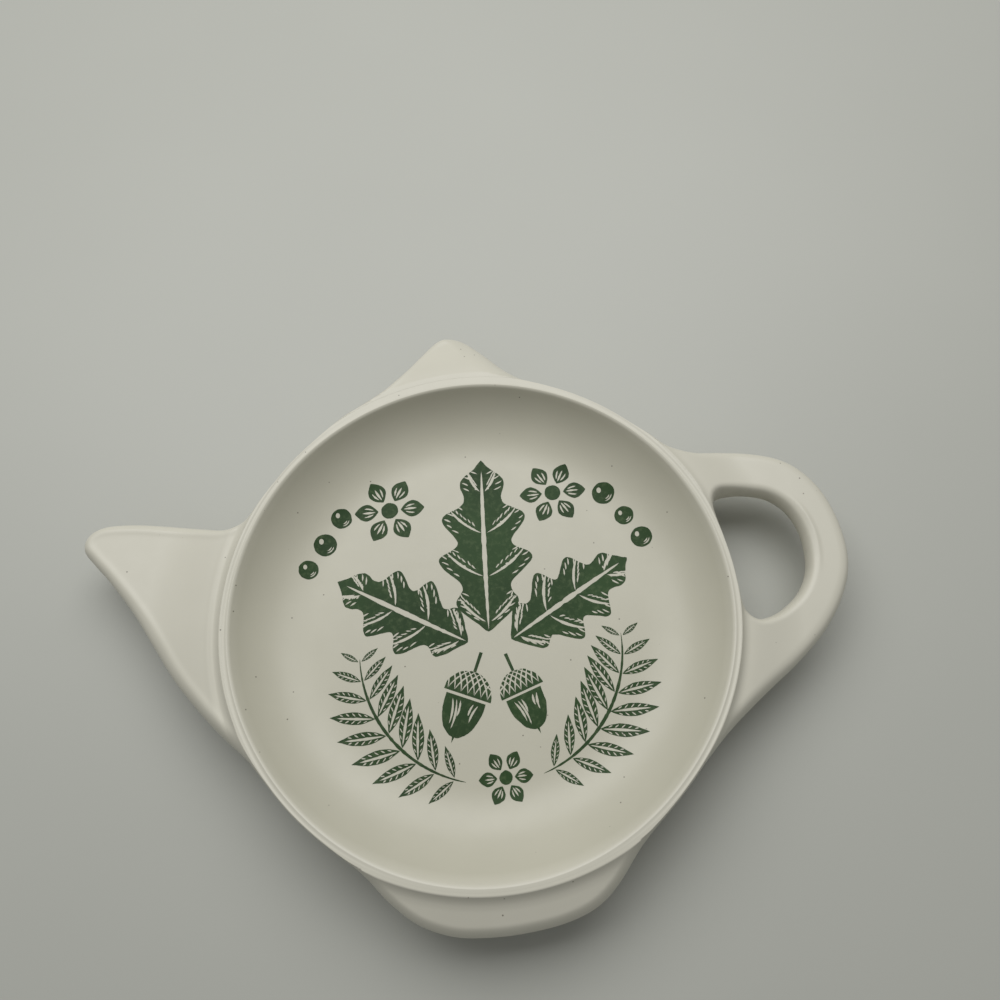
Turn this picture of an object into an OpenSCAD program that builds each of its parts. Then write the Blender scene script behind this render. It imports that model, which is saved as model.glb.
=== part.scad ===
// Teapot-shaped rest for a used tea bag, in millimetres, +Z up.
// One glazed ceramic casting, shown in its named forms, with a printed sprig on the floor
// of the well. The origin is on the table, under the middle of the round well.
// +X points to the handle, -X to the spout and +Y to the knob of the lid.

/* [Dish] */
// Diameter over the middle of the rim's crest
crest_d = 100; // [85:1:125]
// Width of the flat land on the crest
crest_w = 0.9; // [0.6:0.1:2]
// How far the upright wall stands outside the middle of the crest
wall_out = 1.6; // [1.2:0.1:4]
// Height of the rounding between the crest and the upright wall
crest_drop = 2.2; // [1:0.1:2.5]
// Depth of the well below the crest
well_depth = 9.5; // [8:0.5:12]
// Width in plan of the hollow curve between the crest and the flat floor
cove_w = 7.2; // [4:0.2:10]
// Thickness of the floor of the well
floor_t = 5; // [3.5:0.5:7]

/* [Foot ring] */
// Outer diameter of the ring that the casting stands on
ring_d = 74; // [60:1:78]
// Width of the ring at its root
ring_w = 4; // [3:0.5:8]
// Height of the ring
ring_h = 2.5; // [2:0.1:4]
// Radius of the two lower edges of the ring
ring_edge = 0.8; // [0.3:0.1:1.4]

/* [Arms] */
// Thickness of the spout, handle, knob and pot foot
arm_t = 6; // [5:0.5:7]
// How far their flat tops lie below the crest
arm_drop = 3.4; // [2.6:0.1:4]
// Width in plan of their rounded edges
edge_w = 2.6; // [1.6:0.1:3]

/* [Spout] */
// How far the tip stands out from the wall
spout_reach = 35; // [25:1:45]
// Angle round the well from the middle of the spout's root to either end of it
spout_half_angle = 36; // [30:1:40]

/* [Handle] */
// How far the handle's loop stands out from the wall
handle_reach = 26; // [25:0.5:34]
// Angle round the well from the middle of the handle's root to either end of it
handle_half_angle = 47; // [42:1:52]
// How far the finger hole runs out from the wall
hole_reach = 17.6; // [12:0.2:18]
// Angle round the well from the middle of the hole to either end of it
hole_half_angle = 14; // [10:0.5:15]
// Angle by which the middle of the hole is turned towards the knob
hole_turn = 5.5; // [3:0.5:8]

/* [Knob and pot foot] */
// How far the knob stands out from the wall
knob_reach = 14.2; // [10:0.2:20]
// Angle round the well from the middle of the knob to either end of its root
knob_half_angle = 42; // [36:1:48]
// How far the pot foot stands out from the wall
pot_foot_reach = 7.4; // [6:0.2:12]
// Angle round the well from the middle of the pot foot to either end of its root
pot_foot_half_angle = 42; // [36:1:48]

/* [Print] */
// Thickness of the fired ink
ink_t = 0.1; // [0.05:0.05:0.3]
// Bare margin between the print and the edge of the flat floor
print_margin = 1.4; // [0.5:0.1:6]
// Width of the lines cut clean out of the print
line_w = 0.7; // [0.4:0.1:1]

/* [Hidden] */

glaze_colour = "#dedccd";
biscuit_colour = "#cbbfa8";
ink_colour = "#24492f";

// Facets of the round bodies, and steps of the curves in their sections
round_fn = 180;
curve_steps = 8;
// Flat sides of the prism that ends the arms at the round wall
wall_sides = 120;
// Straight stretches between two points of an outline, and steps from an edge to a flat top
outline_steps = 3;
edge_steps = 3;
// Overrun of every cut
over = 1;

// Heights above the table
floor_z = ring_h + floor_t;
crest_z = floor_z + well_depth;
wall_top_z = crest_z - crest_drop;
arm_top_z = crest_z - arm_drop;
arm_mid_z = arm_top_z - arm_t / 2;
// Clearance between the underside of the arms and the lower end of the upright wall
wall_margin = 0.4;
wall_foot_z = arm_top_z - arm_t - wall_margin;

// Radii round the middle of the well
wall_r = crest_d / 2 + wall_out;
crest_out_r = crest_d / 2 + crest_w / 2;
crest_in_r = crest_d / 2 - crest_w / 2;
floor_r = crest_in_r - cove_w;
ring_r = ring_d / 2;
// Step between the ring and the start of the belly
belly_step = 1;
belly_r = ring_r + belly_step;

// How far an arm's outline runs on inside the wall before the wall's face ends it
root_depth = 12;

// Outlines of the arms: for each point, its angle as a share of the half angle, then its
// distance outside the wall as a share of the reach
spout_shares = [
    [-1, -0.02], [-0.82, 0.035], [-0.72, 0.085], [-0.66, 0.165], [-0.63, 0.32],
    [-0.6, 0.52], [-0.565, 0.75], [-0.525, 0.92], [-0.47, 0.995], [-0.41, 0.985],
    [-0.36, 0.895], [-0.29, 0.765], [-0.15, 0.58], [0.02, 0.435], [0.2, 0.32],
    [0.39, 0.21], [0.59, 0.115], [0.8, 0.03], [1, -0.03]];
handle_shares = [
    [-1, -0.05], [-0.84, 0.02], [-0.655, 0.115], [-0.49, 0.27], [-0.35, 0.47],
    [-0.22, 0.68], [-0.1, 0.85], [0.01, 0.96], [0.125, 1], [0.245, 0.995],
    [0.345, 0.94], [0.43, 0.83], [0.505, 0.65], [0.58, 0.43], [0.65, 0.225],
    [0.74, 0.1], [0.85, 0.045], [1, -0.05]];
hole_shares = [
    [-0.3, -0.12], [-0.57, 0], [-0.79, 0.06], [-0.94, 0.125], [-1.02, 0.22],
    [-1, 0.34], [-0.885, 0.53], [-0.64, 0.77], [-0.335, 0.93], [0.06, 1],
    [0.4, 0.965], [0.66, 0.83], [0.835, 0.61], [0.945, 0.37], [0.955, 0.22],
    [0.82, 0.12], [0.55, 0.055], [0.25, 0], [0, -0.12]];
knob_shares = [
    [-1, -0.12], [-0.79, -0.02], [-0.59, 0.05], [-0.43, 0.14], [-0.285, 0.31],
    [-0.16, 0.62], [-0.055, 0.91], [0.02, 1], [0.095, 0.93], [0.18, 0.7],
    [0.29, 0.415], [0.435, 0.19], [0.585, 0.085], [0.745, 0.035], [1, -0.12]];
pot_foot_shares = [
    [-1, -0.16], [-0.85, -0.01], [-0.66, 0.27], [-0.535, 0.57], [-0.39, 0.865],
    [-0.24, 1], [-0.09, 1], [0.07, 0.985], [0.235, 0.97], [0.37, 0.89],
    [0.49, 0.66], [0.65, 0.27], [0.85, -0.01], [1, -0.16]];
// Inner ends that close each outline inside the wall: angle share, then share of root_depth
root_shares = [
    [1.09, -0.28], [1.12, -0.62], [1, -0.95], [0.7, -1.1], [0, -1.1],
    [-0.7, -1.1], [-1, -0.95], [-1.12, -0.62], [-1.09, -0.28]];

// The print is laid out in shares of its radius
print_r = floor_r - print_margin;
leaf_steps = 20;
// Each oak leaf: base x, base y, direction in degrees, length, width
oak_leaf_shares = [
    [0.03, -0.1, 87, 0.96, 0.5], [-0.08, -0.14, 149, 0.76, 0.42], [0.14, -0.15, 29, 0.74, 0.42]];
oak_lobes = 4;
// How deep the bays between the lobes go, as a share of the leaf's half width
oak_bay_share = 0.42;
// Cuts along the midrib and the veins: shares of the leaf's length, its width, and one lobe
midrib_share = 0.88;
vein_share = 0.36;
vein_root_share = 0.22;
vein_tilt = 42;
// Each acorn: top of the stalk x, y, direction in degrees, length
acorn_shares = [[-0.02, -0.2, 246, 0.46], [0.1, -0.22, 288, 0.42]];
// Shares of an acorn's length: its stalk, the length and width of its cup, and of its nut
stalk_share = 0.22;
cup_shares = [0.26, 0.53];
nut_shares = [0.42, 0.44];
// Each frond: start x, y, direction in degrees, length, bend in degrees over its length
fern_shares = [[-0.15, -0.8, 164, 0.88, -76], [0.22, -0.8, 16, 0.86, 76]];
frond_pairs = 9;
frond_tilt = 56;
// Place of the first pair as a share of one pair's space, and width of a leaflet by its length
first_pair_share = 0.6;
leaflet_width_share = 0.24;
// Each berry: x, y, radius
berry_shares = [
    [-0.7, 0.6, 0.055], [-0.79, 0.46, 0.06], [-0.88, 0.33, 0.05],
    [0.72, 0.58, 0.06], [0.81, 0.44, 0.05], [0.88, 0.31, 0.055]];
// Where the bare spot of a berry sits, as shares of the berry's radius
shine_shares = [-0.3, 0.3];
// Each flower: x, y, radius
flower_shares = [[-0.44, 0.62, 0.19], [0.45, 0.62, 0.18], [0.04, -0.8, 0.13]];
flower_petals = 6;
// Shares of a flower's radius: its eye, the root of a petal, a petal's length and width
eye_share = 0.24;
petal_root_share = 0.32;
petal_shares = [0.68, 0.5];

// Points along a smooth closed line through the given points
function between(a, b, c, d, t) =
    0.5 * ((2 * b) + (c - a) * t + (2 * a - 5 * b + 4 * c - d) * t * t
           + (3 * b - a - 3 * c + d) * t * t * t);

function smooth_loop(points, steps) =
    let (n = len(points))
    [for (i = [0 : n - 1], k = [0 : steps - 1])
        between(points[(i + n - 1) % n], points[i], points[(i + 1) % n], points[(i + 2) % n],
                k / steps)];

// The line moved inwards by the given distance; outlines run anticlockwise from above
function moved_loop(points, distance) =
    let (n = len(points))
    [for (i = [0 : n - 1])
        let (ahead = points[(i + 1) % n] - points[(i + n - 1) % n])
        points[i] + distance * [-ahead[1], ahead[0]] / norm(ahead)];

// A place outside the wall, given by its angle and its distance from the wall
function wall_place(angle, distance) =
    (wall_r + distance) * [cos(angle), sin(angle)];

function arm_outline(shares, middle, half_angle, reach) =
    smooth_loop(
        concat(
            [for (s = shares) wall_place(middle + half_angle * s[0], reach * s[1])],
            [for (s = root_shares) wall_place(middle + half_angle * s[0], root_depth * s[1])]),
        outline_steps);

// Side faces between rings of n points each
function side_faces(n, rings) =
    [for (r = [0 : rings - 2], i = [0 : n - 1])
        let (j = (i + 1) % n)
        [r * n + i, (r + 1) * n + i, (r + 1) * n + j, r * n + j]];

// A plate with elliptical edges, widest half way up. Its flat faces spread in a fan from a hub,
// a place in plan from which the whole outline can be seen.
module rounded_plate(outline, hub) {
    n = len(outline);
    rings = [for (k = [-edge_steps : edge_steps])
        let (a = 90 * k / edge_steps)
        [for (p = moved_loop(outline, edge_w * (1 - cos(a))))
            [p[0], p[1], arm_mid_z + arm_t / 2 * sin(a)]]];
    top = (len(rings) - 1) * n;
    hubs = [for (side = [-1, 1]) [hub[0], hub[1], arm_mid_z + side * arm_t / 2]];
    polyhedron(
        concat([for (ring = rings) each ring], hubs),
        concat(
            side_faces(n, len(rings)),
            [for (i = [0 : n - 1]) [i, (i + 1) % n, top + n]],
            [for (i = [0 : n - 1]) [top + (i + 1) % n, top + i, top + n + 1]]),
        10);
}

// The space of a hole whose edges are rounded in the same way, narrowest half way up
module rounded_hole(outline) {
    angles = [for (k = [-edge_steps : edge_steps]) 90 * k / edge_steps];
    rings = concat(
        [[for (p = moved_loop(outline, -edge_w)) [p[0], p[1], arm_mid_z - arm_t / 2 - over]]],
        [for (a = angles)
            [for (p = moved_loop(outline, -edge_w * (1 - cos(a))))
                [p[0], p[1], arm_mid_z + arm_t / 2 * sin(a)]]],
        [[for (p = moved_loop(outline, -edge_w)) [p[0], p[1], arm_mid_z + arm_t / 2 + over]]]);
    n = len(outline);
    polyhedron(
        [for (ring = rings) each ring],
        concat(
            [[for (i = [0 : n - 1]) i]],
            side_faces(n, len(rings)),
            [[for (i = [n - 1 : -1 : 0]) (len(rings) - 1) * n + i]]),
        10);
}

// The space of the round wall, where every arm ends: a prism whose flat sides touch the wall
module wall_space() {
    corner_r = wall_r / cos(180 / wall_sides);
    translate([0, 0, arm_mid_z - arm_t])
        linear_extrude(2 * arm_t)
            polygon([for (k = [0 : wall_sides - 1])
                let (a = 360 * k / wall_sides)
                corner_r * [cos(a), sin(a)]]);
}

module arm(shares, middle, half_angle, reach) {
    difference() {
        rounded_plate(
            arm_outline(shares, middle, half_angle, reach), wall_place(middle, -root_depth));
        wall_space();
    }
}

// The round dish: floor, hollow curve, crest, upright wall and belly in one section
module dish() {
    quarter = [for (k = [0 : curve_steps]) 90 * k / curve_steps];
    belly = [for (a = quarter)
        [belly_r + (wall_r - belly_r) * sin(a), wall_foot_z - (wall_foot_z - ring_h) * cos(a)]];
    shoulder = [for (a = quarter)
        [crest_out_r + (wall_r - crest_out_r) * cos(a), wall_top_z + crest_drop * sin(a)]];
    cove = [for (k = [curve_steps : -1 : 0])
        let (a = quarter[k])
        [floor_r + cove_w * sin(a), crest_z - well_depth * cos(a)]];
    color(glaze_colour)
        rotate_extrude($fn = round_fn)
            polygon(concat([[0, ring_h]], belly, shoulder, cove, [[0, floor_z]]));
}

// The bare ring ground flat underneath, which the casting stands on
module foot_ring() {
    quarter = [for (k = [0 : curve_steps]) 90 * k / curve_steps];
    inner_r = ring_r - ring_w;
    inner_edge = [for (a = quarter)
        [inner_r + ring_edge * (1 - cos(a)), ring_edge * (1 - sin(a))]];
    outer_edge = [for (k = [curve_steps : -1 : 0])
        let (a = quarter[k])
        [ring_r - ring_edge * (1 - cos(a)), ring_edge * (1 - sin(a))]];
    color(biscuit_colour)
        rotate_extrude($fn = round_fn)
            polygon(concat([[inner_r, ring_h]], inner_edge, outer_edge, [[ring_r, ring_h]]));
}

module spout() {
    color(glaze_colour)
        arm(spout_shares, 180, spout_half_angle, spout_reach);
}

// An open loop: both its ends meet the wall, and the finger hole lies between them
module handle() {
    hole_points = [for (s = hole_shares)
        wall_place(hole_turn + hole_half_angle * s[0], hole_reach * s[1])];
    color(glaze_colour)
        difference() {
            arm(handle_shares, 0, handle_half_angle, handle_reach);
            rounded_hole(smooth_loop(hole_points, outline_steps));
        }
}

module lid_knob() {
    color(glaze_colour)
        arm(knob_shares, 90, knob_half_angle, knob_reach);
}

module pot_foot() {
    color(glaze_colour)
        arm(pot_foot_shares, 270, pot_foot_half_angle, pot_foot_reach);
}

// A film of ink on the flat floor
module ink() {
    color(ink_colour)
        translate([0, 0, floor_z])
            linear_extrude(ink_t)
                children();
}

// A pointed leaf along +X from the origin
module leaf_2d(length, width) {
    upper = [for (k = [0 : leaf_steps / 2])
        let (t = 2 * k / leaf_steps)
        [length * t, width / 2 * sin(180 * t)]];
    lower = [for (k = [leaf_steps / 2 - 1 : -1 : 1])
        let (t = 2 * k / leaf_steps)
        [length * t, -width / 2 * sin(180 * t)]];
    polygon(concat(upper, lower));
}

// Half the width of an oak leaf as a share of its width, at a share t of its length
function oak_half(t) =
    0.5 * pow(sin(180 * pow(t, 0.85)), 0.75)
        * (1 - oak_bay_share * (0.5 + 0.5 * cos(360 * oak_lobes * t)));

module oak_leaf_2d(length, width) {
    n = 2 * leaf_steps;
    difference() {
        polygon(concat(
            [for (k = [0 : n]) [length * k / n, width * oak_half(k / n)]],
            [for (k = [n - 1 : -1 : 1]) [length * k / n, -width * oak_half(k / n)]]));
        translate([line_w, 0])
            leaf_2d(midrib_share * length, line_w);
        for (lobe = [0 : oak_lobes - 1], side = [-1, 1])
            translate([length * (lobe + vein_root_share) / oak_lobes, side * line_w])
                rotate(side * vein_tilt)
                    leaf_2d(vein_share * width, line_w);
    }
}

module print_oak_leaves() {
    ink()
        for (s = oak_leaf_shares)
            translate(print_r * [s[0], s[1]])
                rotate(s[2])
                    oak_leaf_2d(print_r * s[3], print_r * s[4]);
}

// Half an oval: flat across the origin, rounded towards +X
module half_oval_2d(length, width) {
    polygon([for (k = [0 : leaf_steps])
        let (a = 180 * k / leaf_steps - 90)
        [length * cos(a), width / 2 * sin(a)]]);
}

// A stalk and its cup, and a nut that stands clear of the cup by one line's width, along +X
module acorn_2d(length) {
    cup_end = length * (stalk_share + cup_shares[0]);
    translate([0, -line_w / 2])
        square([cup_end - line_w, line_w]);
    translate([cup_end, 0])
        rotate(180)
            half_oval_2d(length * cup_shares[0], length * cup_shares[1]);
    translate([cup_end + line_w, 0])
        half_oval_2d(length * nut_shares[0], length * nut_shares[1]);
}

module print_acorns() {
    ink()
        for (s = acorn_shares)
            translate(print_r * [s[0], s[1]])
                rotate(s[2])
                    acorn_2d(print_r * s[3]);
}

// A place along a stem that bends evenly, at a share t of its length
function stem_place(length, bend, t) =
    let (r = length / (bend * PI / 180))
    r * [sin(bend * t), 1 - cos(bend * t)];

// Length of a leaflet as a share of its frond's, at a share t of the frond
function leaflet_share(t) = 0.27 * pow(sin(180 * (0.14 + 0.78 * t)), 0.8);

module frond_2d(length, bend) {
    for (k = [0 : frond_pairs - 1]) {
        t = (k + first_pair_share) / frond_pairs;
        leaflet = length * leaflet_share(t);
        translate(stem_place(length, bend, t))
            rotate(bend * t)
                for (side = [-1, 1])
                    translate([0, side * line_w / 2])
                        rotate(side * frond_tilt)
                            leaf_2d(leaflet, leaflet_width_share * leaflet);
    }
}

module print_ferns() {
    ink()
        for (s = fern_shares)
            translate(print_r * [s[0], s[1]])
                rotate(s[2])
                    frond_2d(print_r * s[3], s[4]);
}

module print_berries() {
    ink()
        for (s = berry_shares)
            translate(print_r * [s[0], s[1]])
                difference() {
                    circle(r = print_r * s[2], $fn = leaf_steps);
                    translate(print_r * s[2] * shine_shares)
                        circle(d = line_w, $fn = leaf_steps);
                }
}

module print_flowers() {
    ink()
        for (s = flower_shares)
            translate(print_r * [s[0], s[1]]) {
                flower_r = print_r * s[2];
                circle(r = eye_share * flower_r, $fn = leaf_steps);
                for (k = [0 : flower_petals - 1])
                    rotate(360 * k / flower_petals)
                        translate([petal_root_share * flower_r, 0])
                            leaf_2d(petal_shares[0] * flower_r, petal_shares[1] * flower_r);
            }
}

dish();
foot_ring();
spout();
handle();
lid_knob();
pot_foot();
print_oak_leaves();
print_acorns();
print_ferns();
print_berries();
print_flowers();
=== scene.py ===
import math

import bpy
import numpy as np
from mathutils import Euler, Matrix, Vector
from mathutils.geometry import delaunay_2d_cdt


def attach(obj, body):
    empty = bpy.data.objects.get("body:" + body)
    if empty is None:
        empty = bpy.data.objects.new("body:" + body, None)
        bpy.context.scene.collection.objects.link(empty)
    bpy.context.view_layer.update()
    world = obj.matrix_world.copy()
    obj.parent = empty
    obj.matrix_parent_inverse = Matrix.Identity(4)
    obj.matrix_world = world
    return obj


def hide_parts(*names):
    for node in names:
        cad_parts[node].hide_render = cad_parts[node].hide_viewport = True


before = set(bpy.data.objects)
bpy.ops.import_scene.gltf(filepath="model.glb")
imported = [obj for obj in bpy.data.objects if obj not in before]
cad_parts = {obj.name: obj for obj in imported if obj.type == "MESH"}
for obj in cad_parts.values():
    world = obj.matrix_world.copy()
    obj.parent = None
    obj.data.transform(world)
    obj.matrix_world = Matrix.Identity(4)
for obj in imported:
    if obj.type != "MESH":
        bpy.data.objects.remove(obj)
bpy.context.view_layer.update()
scene = bpy.context.scene
scene.view_settings.view_transform = "Standard"

# Camera: a phone's main lens held about 16 cm over the table, a little towards the foot of
# the pot, so that the far rim, the outer walls on the near side and the spout's tip past the
# left edge fall where the photograph has them.
camera = bpy.data.objects.new("camera", bpy.data.cameras.new("camera"))
camera.data.sensor_width = 36
camera.data.lens = 27.036
camera.data.clip_start = 0.01
camera.location = (0.005003, -0.038242, 0.162135)
camera.rotation_euler = Euler([math.radians(a) for a in (22.1784, 1.8872, -6.1)])
scene.collection.objects.link(camera)
scene.camera = camera


# Light: one wide, soft window high beyond the knob, and a dim room all round. Its light falls
# off towards the pot foot, where the edges turn away from it and go dark.
window = bpy.data.lights.new("window", "AREA")
window.shape = "RECTANGLE"
window.size, window.size_y = 0.66, 0.36
window.energy = 2.2
window_place = Vector((-0.02, 0.26, 0.43))
lamp = bpy.data.objects.new("window", window)
lamp.location = window_place
lamp.rotation_euler = (-window_place).to_track_quat("-Z", "Y").to_euler()
scene.collection.objects.link(lamp)

room = bpy.data.worlds.new("room")
room.use_nodes = True
daylight = room.node_tree.nodes["Background"]
daylight.inputs["Color"].default_value = (0.97, 0.98, 0.97, 1)
daylight.inputs["Strength"].default_value = 0.24
scene.world = room


# Table: a sheet of white laminate, pressed from melamine and paper, which only carries the
# rest. It gives the eye a matt, pale, even ground with a faint haze about 11 cm wide.
TABLE_HALF = 1.2


def linear(code):
    """The linear colour of an sRGB hex code such as #c8c4b4."""
    parts = [int(code[i:i + 2], 16) / 255 for i in (1, 3, 5)]
    return [p / 12.92 if p <= 0.04045 else ((p + 0.055) / 1.055) ** 2.4 for p in parts] + [1]


def add(tree, kind, inputs=None, **settings):
    """A new node with its settings, its input values and the links into it."""
    made = tree.nodes.new(kind)
    for key, value in settings.items():
        setattr(made, key, value)
    for key, value in (inputs or {}).items():
        if isinstance(value, bpy.types.NodeSocket):
            tree.links.new(value, made.inputs[key])
        else:
            made.inputs[key].default_value = value
    return made


def new_material(name):
    """A new material, its tree, its shader and its texture coordinates."""
    material = bpy.data.materials.new(name)
    material.use_nodes = True
    tree = material.node_tree
    return material, tree, tree.nodes["Principled BSDF"], add(tree, "ShaderNodeTexCoord")


laminate, tree, shader, place = new_material("white_laminate")
haze = add(tree, "ShaderNodeTexNoise", {"Vector": place.outputs["Object"], "Scale": 9, "Detail": 3})
tone = add(tree, "ShaderNodeMix", {"Factor": haze.outputs["Fac"]}, data_type="RGBA")
tone.inputs[6].default_value = linear("#b5b6ae")
tone.inputs[7].default_value = linear("#bcbdb5")
tree.links.new(tone.outputs[2], shader.inputs["Base Color"])
shader.inputs["Roughness"].default_value = 0.5

sheet = bpy.data.meshes.new("table")
corners = [(x * TABLE_HALF, y * TABLE_HALF, 0) for x, y in ((-1, -1), (1, -1), (1, 1), (-1, 1))]
sheet.from_pydata(corners, [], [(0, 1, 2, 3)])
table = bpy.data.objects.new("table", sheet)
table.data.materials.append(laminate)
scene.collection.objects.link(table)

# Foot ring: the low ring that the casting stands on, wiped bare of glaze before the firing
# and ground flat, so that the buff clay shows. Its sizes, and all those below, are in
# millimetres.
MM = 0.001
RING_Z, RING_IN_R, RING_OUT_R, RING_EDGE = 2.5, 33.0, 37.0, 0.8


def piece(name, points, faces, material, slot, *nodes):
    """A finished object from points in millimetres, which stands for the named nodes."""
    mesh = bpy.data.meshes.new(name)
    mesh.from_pydata((np.asarray(points) * MM).tolist(), [], faces)
    mesh.materials.append(material)
    mesh.shade_smooth()
    made = bpy.data.objects.new(name, mesh)
    scene.collection.objects.link(made)
    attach(made, "root")
    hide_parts(*nodes)
    return made


def turned(profile, turns, wobble=None):
    """Points and faces of a closed body turned from a profile that starts and ends on the
    axis, or runs round in a loop. wobble gives each point's move out from its angle, radius
    and height."""
    profile = np.asarray(profile, float)
    open_ends = profile[0, 0] == 0
    line = profile[1:-1] if open_ends else profile
    angle = np.arange(turns) * 2 * math.pi / turns
    r = np.repeat(line[:, 0:1], turns, 1)
    if wobble is not None:
        r = r + wobble(angle[None, :], line[:, 0:1], line[:, 1:2])
    points = np.stack([r * np.cos(angle), r * np.sin(angle),
                       np.repeat(line[:, 1:2], turns, 1)], 2).reshape(-1, 3)
    n = len(line)
    rows = np.arange(n - 1 if open_ends else n)
    i, j = np.meshgrid(rows, np.arange(turns), indexing="ij")
    below, above, ahead = i * turns, ((i + 1) % n) * turns, (j + 1) % turns
    faces = np.stack([below + j, below + ahead, above + ahead, above + j], 2).reshape(-1, 4)
    faces = faces.tolist()
    if open_ends:
        first, last = len(points), len(points) + 1
        points = np.vstack([points, [[0, 0, profile[0, 1]], [0, 0, profile[-1, 1]]]])
        ring = np.arange(turns)
        following = (ring + 1) % turns
        top = (n - 1) * turns
        faces += [[first, b, a] for a, b in zip(ring.tolist(), following.tolist())]
        faces += [[last, top + a, top + b] for a, b in zip(ring.tolist(), following.tolist())]
    return points, faces


def ellipse_arc(centre, radii, start, end, steps):
    """Points on part of an ellipse, from one angle to another."""
    a = np.radians(np.linspace(start, end, steps))
    return np.stack([centre[0] + radii[0] * np.cos(a), centre[1] + radii[1] * np.sin(a)], 1)


# Bare clay, fired and ground: dull and faintly gritty, with no shine at all. Its real grit of
# 0.2 mm is too fine to show, so it is drawn about 1 mm across.
clay, tree, shader, place = new_material("bare_buff_clay")
grit = add(tree, "ShaderNodeTexNoise",
           {"Vector": place.outputs["Object"], "Scale": 900, "Detail": 6, "Roughness": 0.7})
tone = add(tree, "ShaderNodeMix", {"Factor": grit.outputs["Fac"]}, data_type="RGBA")
tone.inputs[6].default_value = linear("#b8ab93")
tone.inputs[7].default_value = linear("#d3c8b2")
tree.links.new(tone.outputs[2], shader.inputs["Base Color"])
shader.inputs["Roughness"].default_value = 0.9
bump = add(tree, "ShaderNodeBump",
           {"Height": grit.outputs["Fac"], "Distance": 0.0001, "Strength": 0.6})
tree.links.new(bump.outputs["Normal"], shader.inputs["Normal"])
ring_profile = np.vstack([
    [[RING_IN_R, RING_Z]],
    ellipse_arc((RING_IN_R + RING_EDGE, RING_EDGE), (RING_EDGE, RING_EDGE), 180, 270, 7),
    ellipse_arc((RING_OUT_R - RING_EDGE, RING_EDGE), (RING_EDGE, RING_EDGE), 270, 360, 7),
    [[RING_OUT_R, RING_Z]]])
ring_points, ring_faces = turned(ring_profile, 360)
piece("foot_ring_bare", ring_points, ring_faces, clay, "biscuit", "foot_ring")

# Spout: a flat plate cast in one with the dish. Its top lies below the rim, behind a shallow
# gutter that the glaze has softened, and its edges are rounded over by sponging.
CREST_Z, WALL_R, WALL_TOP_Z, WALL_FOOT_Z = 17.0, 51.6, 14.8, 6.5
CREST_OUT_R, CREST_IN_R, BELLY_R = 51.15, 50.15, 38.0
ARM_TOP_Z, ARM_MID_Z, ARM_LOW_Z = 13.6, 10.6, 7.6
# The arms' lower edges are UNDER_EDGE_W wide, two edges that meet are eased over CORNER_W,
# and INSET keeps a skin just inside its outline. ROOT carries an outline on inside the wall,
# in shares of its half angle and of ROOT_DEPTH.
UNDER_EDGE_W, CORNER_W, INSET = 2.6, 0.8, 0.012
ROOT_DEPTH = 12
ROOT = [[1.09, -0.28], [1.12, -0.62], [1, -0.95], [0.7, -1.1], [0, -1.1],
        [-0.7, -1.1], [-1, -0.95], [-1.12, -0.62], [-1.09, -0.28]]


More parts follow.
